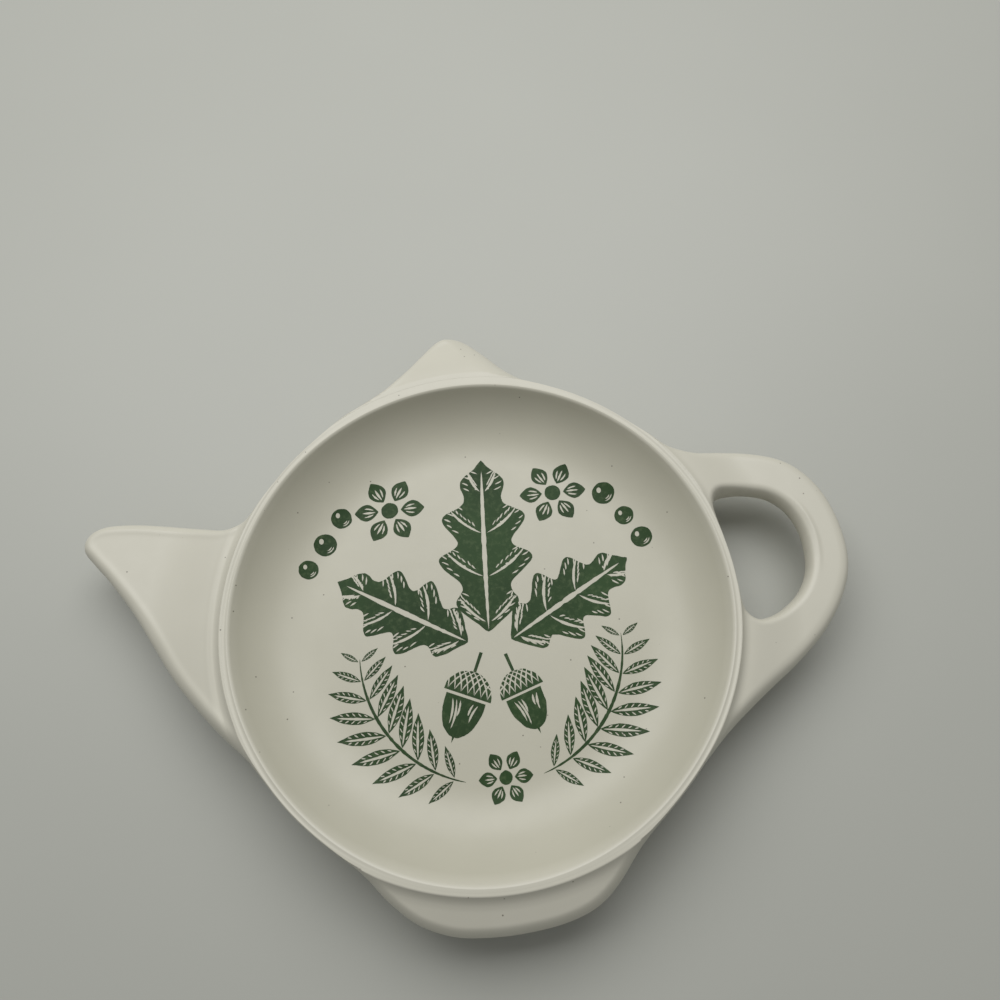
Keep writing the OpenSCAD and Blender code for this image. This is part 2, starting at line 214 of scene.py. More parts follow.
def satin_glaze():
    """Satin tin glaze, dipped and fired: a soft broad sheen, clouding about 17 mm wide, painted
    shade in the well, where the tone is made slightly darker all over, and iron specks from
    the clay, 0.2 to 0.4 mm across and about one to a square centimetre. The ripple and
    mottling of the glaze are under 1 mm wide, too fine to show, so they are drawn 2 to 3 mm
    wide."""
    material, tree, shader, place = new_material("satin_cream_glaze")
    spot = place.outputs["Object"]
    cloud = add(tree, "ShaderNodeTexNoise", {"Vector": spot, "Scale": 60, "Detail": 3})
    tone = add(tree, "ShaderNodeMix", {"Factor": cloud.outputs["Fac"]}, data_type="RGBA")
    tone.inputs[6].default_value = linear("#cdcabb")
    tone.inputs[7].default_value = linear("#d6d3c4")
    flat = add(tree, "ShaderNodeVectorMath", {0: spot, 1: (1, 1, 0)}, operation="MULTIPLY")
    out = add(tree, "ShaderNodeVectorMath", {0: flat.outputs[0]}, operation="LENGTH")
    # Painted shade: the glaze colour is darkened over the whole well, fully inside 48.5 mm from the
    # axis and fading out by 50.3 mm.
    well_shade_mask = add(tree, "ShaderNodeMapRange",
               {"Value": out.outputs["Value"], "From Min": 0.0485, "From Max": 0.0503,
                "To Min": 1, "To Max": 0})
    well_shaded = add(tree, "ShaderNodeMix", {"Factor": well_shade_mask.outputs["Result"], 6: tone.outputs[2]},
                 data_type="RGBA", blend_type="MULTIPLY")
    well_shaded.inputs[7].default_value = linear("#eeeeea")
    cell = add(tree, "ShaderNodeTexVoronoi", {"Vector": spot, "Scale": 333})
    rare = add(tree, "ShaderNodeSeparateColor", {"Color": cell.outputs["Color"]})
    chosen = add(tree, "ShaderNodeMath", {0: rare.outputs["Red"], 1: 0.45},
                 operation="GREATER_THAN")
    near = add(tree, "ShaderNodeMapRange",
               {"Value": cell.outputs["Distance"], "From Min": 0.03, "From Max": 0.065,
                "To Min": 1, "To Max": 0})
    speck = add(tree, "ShaderNodeMath", {0: chosen.outputs[0], 1: near.outputs["Result"]},
                operation="MULTIPLY")
    dotted = add(tree, "ShaderNodeMix", {"Factor": speck.outputs[0], 6: well_shaded.outputs[2]},
                 data_type="RGBA")
    dotted.inputs[7].default_value = linear("#6f6a5c")
    tree.links.new(dotted.outputs[2], shader.inputs["Base Color"])
    mottle = add(tree, "ShaderNodeTexNoise", {"Vector": spot, "Scale": 300, "Detail": 4})
    rough = add(tree, "ShaderNodeMapRange",
                {"Value": mottle.outputs["Fac"], "To Min": 0.32, "To Max": 0.46})
    tree.links.new(rough.outputs["Result"], shader.inputs["Roughness"])
    shader.inputs["IOR"].default_value = 1.5
    peel = add(tree, "ShaderNodeTexNoise", {"Vector": spot, "Scale": 420, "Detail": 2})
    bump = add(tree, "ShaderNodeBump",
               {"Height": peel.outputs["Fac"], "Distance": 0.00003, "Strength": 0.35})
    tree.links.new(bump.outputs["Normal"], shader.inputs["Normal"])
    return material


cream = satin_glaze()


def smooth_loop(shares, middle, half_angle, reach, root=True, steps=8):
    """A closed smooth line in plan. Its points are given as shares of the half angle to each
    side of the middle and of the reach beyond the wall, and the root carries it on inside."""
    rows = [(middle + half_angle * a, WALL_R + reach * d) for a, d in shares]
    if root:
        rows += [(middle + half_angle * a, WALL_R + ROOT_DEPTH * d) for a, d in ROOT]
    angle, r = np.radians([row[0] for row in rows]), np.array([row[1] for row in rows])
    b = np.stack([r * np.cos(angle), r * np.sin(angle)], 1)
    a, c, d = np.roll(b, 1, 0), np.roll(b, -1, 0), np.roll(b, -2, 0)
    t = (np.arange(steps) / steps)[None, :, None]
    a, b, c, d = (p[:, None, :] for p in (a, b, c, d))
    line = 0.5 * (2 * b + (c - a) * t + (2 * a - 5 * b + 4 * c - d) * t ** 2
                  + (3 * b - a - 3 * c + d) * t ** 3)
    return line.reshape(-1, 2)


def depth_inside(x, y, loop):
    """Distance in plan from the loop, above zero inside it."""
    start, end = loop, np.roll(loop, -1, 0)
    run = end - start
    length2 = (run ** 2).sum(1)
    out = np.empty(len(x))
    for first in range(0, len(x), 4000):
        px, py = x[first:first + 4000, None], y[first:first + 4000, None]
        ax, ay = px - start[:, 0], py - start[:, 1]
        t = np.clip((ax * run[:, 0] + ay * run[:, 1]) / length2, 0, 1)
        gap = np.sqrt(((ax - t * run[:, 0]) ** 2 + (ay - t * run[:, 1]) ** 2).min(1))
        across = (start[:, 1] > py) != (end[:, 1] > py)
        rise = np.where(run[:, 1] == 0, 1, run[:, 1])
        hit = across & (ax < ay * run[:, 0] / rise)
        out[first:first + 4000] = np.where(hit.sum(1) % 2 == 1, gap, -gap)
    return out


def step_up(low, high, value):
    """0 up to the low value, 1 from the high one, and a smooth rise between."""
    t = np.clip((value - low) / (high - low), 0, 1)
    return t * t * (3 - 2 * t)


def blended(a, b, width):
    """The smaller of two distances, with the inner corner filled in over the given width."""
    h = np.clip(width - np.abs(a - b), 0, None) / width
    return np.minimum(a, b) - h * h * width / 4


def rounded(u, v, wide, high):
    """Distance from an elliptical edge; u and v are 1 on its two ends."""
    q = np.sqrt(u * u + v * v)
    slope = np.sqrt((u / wide) ** 2 + (v / high) ** 2)
    return (q - 1) * q / np.maximum(slope, 1e-6)


def rim_bow(angle):
    """How far the rim stands out from a true circle: it isn't quite round, and it is
    broadest on the pot foot's side."""
    near = np.remainder(angle - 0.5 * np.pi, 2 * np.pi) - np.pi
    return (0.1 * np.cos(4 * angle + 0.3) + 0.06 * np.sin(3 * angle + 1.1)
            + 0.04 * np.cos(7 * angle + 2.0) + 0.12 * np.exp(-near ** 2 / 0.5))


def wall_distance(x, y, z):
    """Distance outside the dish's belly, upright wall and shoulder."""
    r = np.hypot(x, y)
    bow = rim_bow(np.arctan2(y, x)) * np.clip((z - WALL_TOP_Z) / (CREST_Z - WALL_TOP_Z), 0, 1)
    shoulder = rounded(np.maximum(r - bow - CREST_OUT_R, 0) / (WALL_R - CREST_OUT_R),
                       np.maximum(z - WALL_TOP_Z, 0) / (CREST_Z - WALL_TOP_Z),
                       WALL_R - CREST_OUT_R, CREST_Z - WALL_TOP_Z)
    belly = rounded(np.maximum(r - BELLY_R, 0) / (WALL_R - BELLY_R),
                    np.maximum(WALL_FOOT_Z - z, 0) / (WALL_FOOT_Z - RING_Z),
                    WALL_R - BELLY_R, WALL_FOOT_Z - RING_Z)
    return np.where(z > WALL_TOP_Z, shoulder, np.where(z < WALL_FOOT_Z, belly, r - WALL_R))


def arm_field(x, y, z, shape):
    """Distance outside an arm, blended into the wall and never above the crest. shape gives
    for each place in plan the edges, each a depth with its upper width, then the height of
    the top and the width of the blend."""
    edges, top_z, blend_w = shape(x, y)
    top_h = top_z - ARM_MID_Z
    body = None
    for depth, wide in edges:
        w = np.where(z > ARM_MID_Z, wide, UNDER_EDGE_W)
        h = np.where(z > ARM_MID_Z, top_h, ARM_MID_Z - ARM_LOW_Z)
        one = rounded(np.maximum(1 - depth / w, 0), np.abs(z - ARM_MID_Z) / h, w, h)
        body = one if body is None else -blended(-body, -one, CORNER_W)
    joined = blended(body, wall_distance(x, y, z), blend_w) + INSET
    return np.maximum(joined, z - CREST_Z + 0.01)


def skin_slope(p, shape, h):
    """How the distance from an arm's skin changes along x, y and z."""
    parts = []
    for k in range(3):
        ahead, back = p.copy(), p.copy()
        ahead[:, k] += h
        back[:, k] -= h
        parts.append((arm_field(*ahead.T, shape) - arm_field(*back.T, shape)) / (2 * h))
    return np.stack(parts, 1)


def skin(shape, middle, spread, reach):
    """The skin of an arm outside the round wall: points, faces, normals and the faces that
    lie against the wall. The surface is found on a grid of radius, angle and height, and
    each point is then moved onto it."""
    step_mm, step_degrees, step_z, below_foot, longest_move = 0.4, 0.4, 0.36, 6.3, 0.25
    r = np.concatenate([[WALL_R - 0.001], np.arange(WALL_R, WALL_R + reach + 1, step_mm)])
    turn = np.radians(np.arange(middle - spread, middle + spread + 0.01, step_degrees))
    z = np.arange(below_foot, CREST_Z + 0.5, step_z)
    rr, tt = np.meshgrid(r, turn, indexing="ij")
    x, y = (rr * np.cos(tt)).ravel(), (rr * np.sin(tt)).ravel()
    edges, top_z, blend_w = shape(x, y)
    column = ([(d[:, None], w[:, None]) for d, w in edges], top_z[:, None], blend_w[:, None])
    value = arm_field(x[:, None], y[:, None], z[None, :], lambda *_: column)
    value = value.reshape(len(r), len(turn), len(z))
    value[0] = value[-1] = 1
    value[:, 0] = value[:, -1] = 1
    value[:, :, 0] = value[:, :, -1] = 1
    solid = value < 0
    cells = tuple(n - 1 for n in value.shape)
    total, count = np.zeros(cells + (3,)), np.zeros(cells)
    cap_total, cap_count = np.zeros(cells[1:] + (3,)), np.zeros(cells[1:])
    axes = (r, turn, z)
    quads = []
    for axis in range(3):
        low = [slice(None)] * 3
        high = [slice(None)] * 3
        low[axis], high[axis] = slice(0, -1), slice(1, None)
        a, b = value[tuple(low)], value[tuple(high)]
        where = np.argwhere(solid[tuple(low)] != solid[tuple(high)])
        va, vb = a[tuple(where.T)], b[tuple(where.T)]
        t = va / (va - vb)
        spot = np.stack([axes[k][where[:, k]] for k in range(3)], 1)
        cap = (where[:, 0] == 0) if axis == 0 else np.zeros(len(where), bool)
        t = np.where(cap, 1, t)
        spot[:, axis] += t * (axes[axis][where[:, axis] + 1] - axes[axis][where[:, axis]])
        others = [k for k in range(3) if k != axis]
        corners = []
        for da, db in ((1, 1), (0, 1), (0, 0), (1, 0)):
            cell = where.copy()
            cell[:, others[0]] -= da
            cell[:, others[1]] -= db
            corners.append(cell)
            free = ~cap
            np.add.at(total, tuple(cell[free].T), spot[free])
            np.add.at(count, tuple(cell[free].T), 1)
            np.add.at(cap_total, tuple(cell[cap][:, 1:].T), spot[cap])
            np.add.at(cap_count, tuple(cell[cap][:, 1:].T), 1)
        ids = np.stack([np.ravel_multi_index(tuple(c.T), cells) for c in corners], 1)
        flip = solid[tuple(low)][tuple(where.T)] ^ (axis == 1)
        ids = np.where(flip[:, None], ids, ids[:, ::-1])
        quads.append(ids)
    quads = np.vstack(quads)
    on_wall = (count[0] == 0) & (cap_count > 0)
    total[0][on_wall], count[0][on_wall] = cap_total[on_wall], cap_count[on_wall]
    used = np.flatnonzero(count.ravel() > 0)
    rank = np.full(count.size, -1)
    rank[used] = np.arange(len(used))
    faces = rank[quads]
    polar = total.reshape(-1, 3)[used] / count.ravel()[used, None]
    layer0 = used < cells[1] * cells[2]
    inner_cap = np.zeros(cells, bool)
    inner_cap[0] = on_wall
    inner_cap = inner_cap.ravel()[used]
    p = np.stack([polar[:, 0] * np.cos(polar[:, 1]), polar[:, 0] * np.sin(polar[:, 1]),
                  polar[:, 2]], 1)

    for _ in range(3):
        f, g = arm_field(*p.T, shape), skin_slope(p, shape, 0.02)
        outward = p[:, :2] / np.hypot(p[:, 0], p[:, 1])[:, None]
        along = (g[:, :2] * outward).sum(1)
        g[layer0, :2] -= along[layer0, None] * outward[layer0]
        move = -(f / np.maximum((g ** 2).sum(1), 0.05))[:, None] * g
        length = np.linalg.norm(move, axis=1)
        move *= (np.minimum(length, longest_move) / np.maximum(length, 1e-9))[:, None]
        move[inner_cap] = 0
        p = p + move
        far = np.hypot(p[:, 0], p[:, 1])
        keep = np.where(layer0, WALL_R, np.maximum(far, WALL_R)) / far
        p[:, :2] *= keep[:, None]
    normal = skin_slope(p, shape, 0.12)
    normal /= np.maximum(np.linalg.norm(normal, axis=1), 1e-9)[:, None]
    return p, faces, normal, layer0[faces].all(1)


def arm_piece(name, skin_parts, node):
    """A glazed arm from its skin, flat where it lies against the wall."""
    points, faces, normal, against_wall = skin_parts
    made = piece(name, points, faces.tolist(), cream, "glaze", node)
    inward = -points * [1, 1, 0]
    inward /= np.linalg.norm(inward, axis=1)[:, None]
    corner = np.where(against_wall[:, None, None], inward[faces], normal[faces])
    made.data.normals_split_custom_set(corner.reshape(-1, 3).tolist())


spout_loop = smooth_loop(
    [[-1, -0.02], [-0.82, 0.035], [-0.72, 0.085], [-0.66, 0.165], [-0.63, 0.32],
     [-0.6, 0.52], [-0.565, 0.75], [-0.525, 0.92], [-0.47, 0.995], [-0.41, 0.985],
     [-0.36, 0.895], [-0.29, 0.765], [-0.15, 0.58], [0.02, 0.435], [0.2, 0.32],
     [0.39, 0.21], [0.59, 0.115], [0.8, 0.03], [1, -0.03]],
    middle=180, half_angle=36, reach=35)


def bump_at(distance, middle, width):
    """A smooth bump, 1 at its middle."""
    return np.exp(-((distance - middle) / width) ** 2)


def spout_shape(x, y):
    """The spout rises to the rim but for the gutter, and has a bead along its edge and a
    fainter one beyond the gutter."""
    rise, gutter_dip, edge_bead, gutter_bead = 2.5, 0.16, 0.1, 0.04
    off = np.hypot(x, y) - WALL_R
    share = (np.degrees(np.arctan2(y, x)) % 360 - 180) / 36
    depth = depth_inside(x, y, spout_loop)
    gutter_w = 1.3 + 1.1 * share ** 2
    lift = rise * (1 - step_up(-1, 17, off))
    lift = lift - gutter_dip * (1 - step_up(gutter_w, gutter_w + 0.9, off))
    edge_w = 1.9 + 0.6 * step_up(-0.45, 0.0, share)
    bead = edge_bead * bump_at(depth, edge_w + 0.2, 0.7)
    bead = bead + gutter_bead * bump_at(off, gutter_w + 1.5, 0.6)
    return [(depth, edge_w)], ARM_TOP_Z - 0.13 + bead + lift, 2.6 + 0 * x


arm_piece("spout_plate", skin(spout_shape, middle=180, spread=46, reach=36), "spout")

# Handle: a flat loop cast in one with the dish and glazed all round, with a hole for a
# fingertip. Its upper end flows up to the rim, and its lower end leaves a soft trough there.
handle_loop = smooth_loop(
    [[-1, -0.05], [-0.84, 0.02], [-0.655, 0.115], [-0.49, 0.27], [-0.35, 0.47],
     [-0.22, 0.68], [-0.1, 0.85], [0.01, 0.96], [0.125, 1], [0.245, 0.995],
     [0.345, 0.94], [0.43, 0.83], [0.505, 0.65], [0.58, 0.43], [0.65, 0.225],
     [0.74, 0.1], [0.85, 0.045], [1, -0.05]],
    middle=0, half_angle=47, reach=26)
hole_loop = smooth_loop(
    [[-0.3, -0.12], [-0.57, 0], [-0.79, 0.06], [-0.94, 0.125], [-1.02, 0.22],
     [-1, 0.34], [-0.885, 0.53], [-0.64, 0.77], [-0.335, 0.93], [0.06, 1],
     [0.4, 0.965], [0.66, 0.83], [0.835, 0.61], [0.945, 0.37], [0.955, 0.22],
     [0.82, 0.12], [0.55, 0.055], [0.25, 0], [0, -0.12]],
    middle=5.5, half_angle=14, reach=17.6, root=False)


def handle_shape(x, y):
    """The handle rises to the rim, more at its upper end, with a trough at the rim below and
    a lip on the outer side of the hole."""
    rise, upper_rise, trough_dip, lip_h = 2.5, 0.8, 0.12, 0.2
    edge_w, hole_edge_w = 2.7, 1.9
    off = np.hypot(x, y) - WALL_R
    turn = np.degrees(np.arctan2(y, x))
    upper = step_up(8, 24, turn)
    lift = (rise + upper_rise * upper) * (1 - step_up(-1.6, 13, off))
    trough = trough_dip * (1 - upper) * bump_at(off, 0.6, 1.8)
    depth, hole = depth_inside(x, y, handle_loop), -depth_inside(x, y, hole_loop)
    beside = step_up(8, 13, off) * (1 - step_up(9, 15, turn))
    lip = lip_h * bump_at(hole, hole_edge_w, 0.5) * beside * step_up(-2, 6, turn)
    edges = [(depth, edge_w + 0 * x), (hole, hole_edge_w + 0 * x)]
    return edges, ARM_TOP_Z - 0.05 + lift - trough + lip, 2.0 + 0 * x


arm_piece("handle_loop", skin(handle_shape, middle=0, spread=56, reach=27), "handle")

# Knob of the lid: a pointed lobe at the head of the dish, cast in one with it under the same
# glaze. Its top is flush with the rim and falls away from it, with a bead along its left edge.
knob_loop = smooth_loop(
    [[-1, -0.12], [-0.79, -0.02], [-0.59, 0.05], [-0.43, 0.14], [-0.285, 0.31],
     [-0.16, 0.62], [-0.055, 0.91], [0.02, 1], [0.095, 0.93], [0.18, 0.7],
     [0.29, 0.415], [0.435, 0.19], [0.585, 0.085], [0.745, 0.035], [1, -0.12]],
    middle=90, half_angle=42, reach=14.2)


def knob_shape(x, y):
    """The knob rises until it is flush with the rim. Its edge is rounder on the right, and
    has a bead on the left."""
    rise, edge_bead = 3.6, 0.12
    off = np.hypot(x, y) - WALL_R
    lift = rise * (1 - step_up(-0.45, 14, off))
    right = step_up(-3, 3, x)
    depth = depth_inside(x, y, knob_loop)
    bead = edge_bead * (1 - right) * bump_at(depth, 1.7, 0.5)
    top_z = np.minimum(ARM_TOP_Z - 0.1 + lift, CREST_Z - 0.02)
    return [(depth, 1.5 + 4.5 * right)], top_z + bead * step_up(0.5, 3, off), 2.0 + 0 * x


arm_piece("lid_knob_lobe", skin(knob_shape, middle=90, spread=50, reach=15), "lid_knob")

# Pot foot: the broad low lobe that stands for the base of the pot, cast in one with the dish
# under the same glaze. Its top slopes down from the rim all the way to its edge.
pot_foot_loop = smooth_loop(
    [[-1, -0.16], [-0.85, -0.01], [-0.66, 0.27], [-0.535, 0.57], [-0.39, 0.865],
     [-0.24, 1], [-0.09, 1], [0.07, 0.985], [0.235, 0.97], [0.37, 0.89],
     [0.49, 0.66], [0.65, 0.27], [0.85, -0.01], [1, -0.16]],
    middle=270, half_angle=42, reach=7.4)


def pot_foot_shape(x, y):
    """The pot foot's top falls from the rim, a little more steeply at first."""
    slope, first_fall, edge_w = 0.4, 0.5, 2.2
    off = np.hypot(x, y) - WALL_R
    fall = slope * (off + 0.2) + first_fall * step_up(-0.9, 3, off)
    depth = depth_inside(x, y, pot_foot_loop)
    return [(depth, edge_w + 0 * x)], CREST_Z - 0.01 - fall, 2.0 + 0 * x


arm_piece("pot_foot_lobe", skin(pot_foot_shape, middle=270, spread=50, reach=8), "pot_foot")

# Dish: the round well of the casting, glazed all over, turned to its profile: a flat middle
# that curls up into the wall, a rim with a narrow grooved land between two soft edges, an
# upright wall and a belly. Outside, the rim's shoulder is drawn up to the top of each arm.
FLOOR_Z, CURL_R, WALL_TURN, LIP_R, EDGE_TURN, EDGE_R = 7.5, 34.0, 61.0, 1.2, 22.0, 0.3
CURL_EASE, GROOVE_DIP, DISH_TURNS = 1.15, 0.16, 600
curl = np.linspace(0, 1, 40)
curl_slope = np.tan(np.radians(WALL_TURN * curl ** CURL_EASE))
curl_z = np.concatenate([[0], np.cumsum((curl_slope[1:] + curl_slope[:-1]) / 2)])
lip_turn = np.radians(np.linspace(WALL_TURN, EDGE_TURN, 12))
edge_turn = np.radians(np.linspace(EDGE_TURN, 0, 5))
edge_line = np.stack([-EDGE_R * np.sin(edge_turn), -EDGE_R * (1 - np.cos(edge_turn))], 1)
edge_line += [CREST_IN_R, CREST_Z]
lip_line = np.stack([LIP_R * (math.sin(math.radians(EDGE_TURN)) - np.sin(lip_turn)),
                     LIP_R * (np.cos(lip_turn) - math.cos(math.radians(EDGE_TURN)))], 1)
lip_line += edge_line[0]
WALL_IN_R = lip_line[0, 0]
curl_z = FLOOR_Z + (lip_line[0, 1] - FLOOR_Z) * curl_z / curl_z[-1]
land = np.linspace(0, 1, 9)[1:-1]
dish_profile = np.vstack([
    [[0, RING_Z]], [[r, RING_Z] for r in (8, 16, 24, 30, 33, 35, 37)],
    ellipse_arc((BELLY_R, WALL_FOOT_Z), (WALL_R - BELLY_R, WALL_FOOT_Z - RING_Z), -90, 0, 22),
    [[WALL_R, z] for z in np.linspace(WALL_FOOT_Z, WALL_TOP_Z, 7)[1:-1]],
    ellipse_arc((CREST_OUT_R, WALL_TOP_Z), (WALL_R - CREST_OUT_R, CREST_Z - WALL_TOP_Z), 0, 90, 20),
    [[CREST_OUT_R + (CREST_IN_R - CREST_OUT_R) * t, CREST_Z] for t in land],
    edge_line[::-1], lip_line[-2::-1],
    np.stack([CURL_R + (WALL_IN_R - CURL_R) * curl, curl_z], 1)[-2::-1],
    [[r, FLOOR_Z] for r in (32, 28, 23, 16, 8)], [[0, FLOOR_Z]]])


def at_knob(angle):
    """1 at the knob's middle, falling off to both sides."""
    return np.exp(-((angle - np.pi / 2) / 0.6) ** 2)


def at_foot(angle):
    """1 at the pot foot's middle, falling off to both sides."""
    return np.exp(-((angle - 1.5 * np.pi) / 0.7) ** 2)


def hand_waver(angle, r, z):
    """How far a point of the profile moves out: the rim sways, and its flat land is wider at
    the knob and narrower at the pot foot."""
    foot_shift, knob_shift = 0.5, -0.55
    share = np.clip((z - WALL_TOP_Z) / (CREST_Z - WALL_TOP_Z), 0, 1)
    inside = np.clip((z - FLOOR_Z - 3) / (CREST_Z - FLOOR_Z - 3), 0, 1) ** 1.5
    inner = np.clip((CREST_OUT_R - r) / (CREST_OUT_R - CREST_IN_R), 0, 1)
    bow = rim_bow(angle) * np.where(r > CREST_OUT_R - 0.1, share, inside)
    bow += (foot_shift * at_foot(angle) + knob_shift * at_knob(angle)) * inner * inside
    return np.minimum(bow * (r > CURL_R), WALL_R - r) * (r < WALL_R)


def arm_height(x, y, shape):
    """The height of the top of an arm, or of the shoulder where no arm reaches."""
    edges, top_z, blend_w = shape(x, y)
    low, high = np.full(len(x), 13.0), np.full(len(x), CREST_Z + 0.2)
    for _ in range(18):
        middle = (low + high) / 2
        within = arm_field(x, y, middle, lambda *_: (edges, top_z, blend_w)) < 0
        low, high = np.where(within, middle, low), np.where(within, high, middle)
    return low


dish_points, dish_faces = turned(dish_profile, DISH_TURNS, hand_waver)
profile_r, profile_z = dish_profile[1:-1].T
on_land = ((profile_z == CREST_Z) & (profile_r < CREST_OUT_R - 0.01)
           & (profile_r > CREST_IN_R + 0.01))
around = np.arange(DISH_TURNS) * 2 * np.pi / DISH_TURNS
plain = (1 - at_foot(around) - at_knob(around)) ** 2
groove = GROOVE_DIP * np.sin(np.pi * land)[:, None] * plain
dish_points[:-2].reshape(-1, DISH_TURNS, 3)[on_land, :, 2] -= groove
outside = (profile_r > CREST_OUT_R - 0.01) & (profile_z > WALL_TOP_Z - 0.01)
shoulder = (np.flatnonzero(outside)[:, None] * DISH_TURNS + np.arange(DISH_TURNS)).ravel()
raised_normals = {}
for arm in (spout_shape, handle_shape, knob_shape, pot_foot_shape):
    x, y, z = dish_points[shoulder].T
    height = np.minimum(arm_height(x, y, arm), CREST_Z - 0.005)
    height -= 0.03 * (CREST_Z - z) / (CREST_Z - WALL_TOP_Z)
    up = (height > z).reshape(-1, DISH_TURNS)
    up[-1] |= up[-2]
    up = up.ravel()
    dish_points[shoulder[up], 2] = height[up]
    lean = skin_slope(dish_points[shoulder[up]], arm, 0.12)
    raised_normals.update(zip(shoulder[up].tolist(), lean.tolist()))
dish = piece("dish_well", dish_points, dish_faces, cream, "glaze", "dish")
normals = np.empty(len(dish_points) * 3)
dish.data.vertices.foreach_get("normal", normals)
normals = normals.reshape(-1, 3)
for index, lean in raised_normals.items():
    normals[index] = lean
normals /= np.linalg.norm(normals, axis=1)[:, None]
dish.data.normals_split_custom_set_from_vertices(normals.tolist())

# Print: one green transfer fired onto the bottom of the well, in the manner of a cut block:
# solid shapes with the light lines gouged out of them. Its film is 0.04 mm proud and follows
# the floor. Oak leaves, acorns, fern fronds, berries and small flowers make a plain sprig.
PRINT_R, FILM_TOP, FILM_FOOT = 40.95, 0.04, -0.04
hand = np.random.default_rng(11)
floor_r = np.concatenate([[0, CURL_R], CURL_R + (WALL_IN_R - CURL_R) * curl[1:]])
floor_z = np.concatenate([[FLOOR_Z, FLOOR_Z], curl_z[1:]])

# Fired ceramic ink: a dense, nearly black green with little shine, tinted in wide patches of
# about 14 mm. Its worn pinholes are drawn about 1 mm wide, coarser than real, so that they show.
ink, tree, shader, place = new_material("fired_green_print")
spot = place.outputs["Object"]
worn = add(tree, "ShaderNodeTexNoise",
           {"Vector": spot, "Scale": 900, "Detail": 5, "Roughness": 0.7})
patch = add(tree, "ShaderNodeTexNoise", {"Vector": spot, "Scale": 70, "Detail": 2})
tone = add(tree, "ShaderNodeMix", {"Factor": patch.outputs["Fac"]}, data_type="RGBA")
tone.inputs[6].default_value = linear("#1b2f14")
tone.inputs[7].default_value = linear("#34512a")
thin = add(tree, "ShaderNodeMapRange",
           {"Value": worn.outputs["Fac"], "From Min": 0.5, "From Max": 0.8, "To Max": 0.35})
pale = add(tree, "ShaderNodeMix", {"Factor": thin.outputs["Result"], 6: tone.outputs[2]},
           data_type="RGBA")
pale.inputs[7].default_value = linear("#76855f")
tree.links.new(pale.outputs[2], shader.inputs["Base Color"])
shader.inputs["Roughness"].default_value = 0.5
shader.inputs["Specular IOR Level"].default_value = 0.2
shader.inputs["IOR"].default_value = 1.5


def gouge(path, width):
    """The outline of one cut along a path, widest half way along."""
    path = np.asarray(path, float)
    swell = np.sin(np.pi * np.linspace(0, 1, len(path))).clip(0) ** 0.6
    run = np.gradient(path, axis=0)
    side = np.stack([-run[:, 1], run[:, 0]], 1)
    side /= np.linalg.norm(side, axis=1)[:, None]
    half = (width / 2 * (swell + 0.04) * (1 + 0.12 * hand.standard_normal(len(path))))[:, None]
    return np.vstack([path + side * half, (path - side * half)[::-1]])


def bowed(start, end, bow, steps=7):
    """A path from start to end that bows sideways by a share of its length."""
    start, end = np.asarray(start, float), np.asarray(end, float)
    t = np.linspace(0, 1, steps)[:, None]
    across = np.array([start[1] - end[1], end[0] - start[0]])
    return start + (end - start) * t + across * bow * 4 * t * (1 - t)


def placed(outlines, x, y, turn):
    """Outlines turned by degrees, then moved by shares of the print's radius."""
    c, s = math.cos(math.radians(turn)), math.sin(math.radians(turn))
    return [np.asarray(o) @ np.array([[c, s], [-s, c]]) + [x * PRINT_R, y * PRINT_R]
            for o in outlines]


def within(points, outline):
    """Which points lie inside an outline."""
    hits = np.zeros(len(points), bool)
    near = np.flatnonzero(((points >= outline.min(0)) & (points <= outline.max(0))).all(1))
    px, py = points[near, 0:1], points[near, 1:2]
    x1, y1 = outline.T
    x2, y2 = np.roll(outline, -1, 0).T
    cross = (y1 > py) != (y2 > py)
    rise = np.where(y2 == y1, 1, y2 - y1)
    hits[near] = (cross & (px < x1 + (py - y1) * (x2 - x1) / rise)).sum(1) % 2 == 1
    return hits


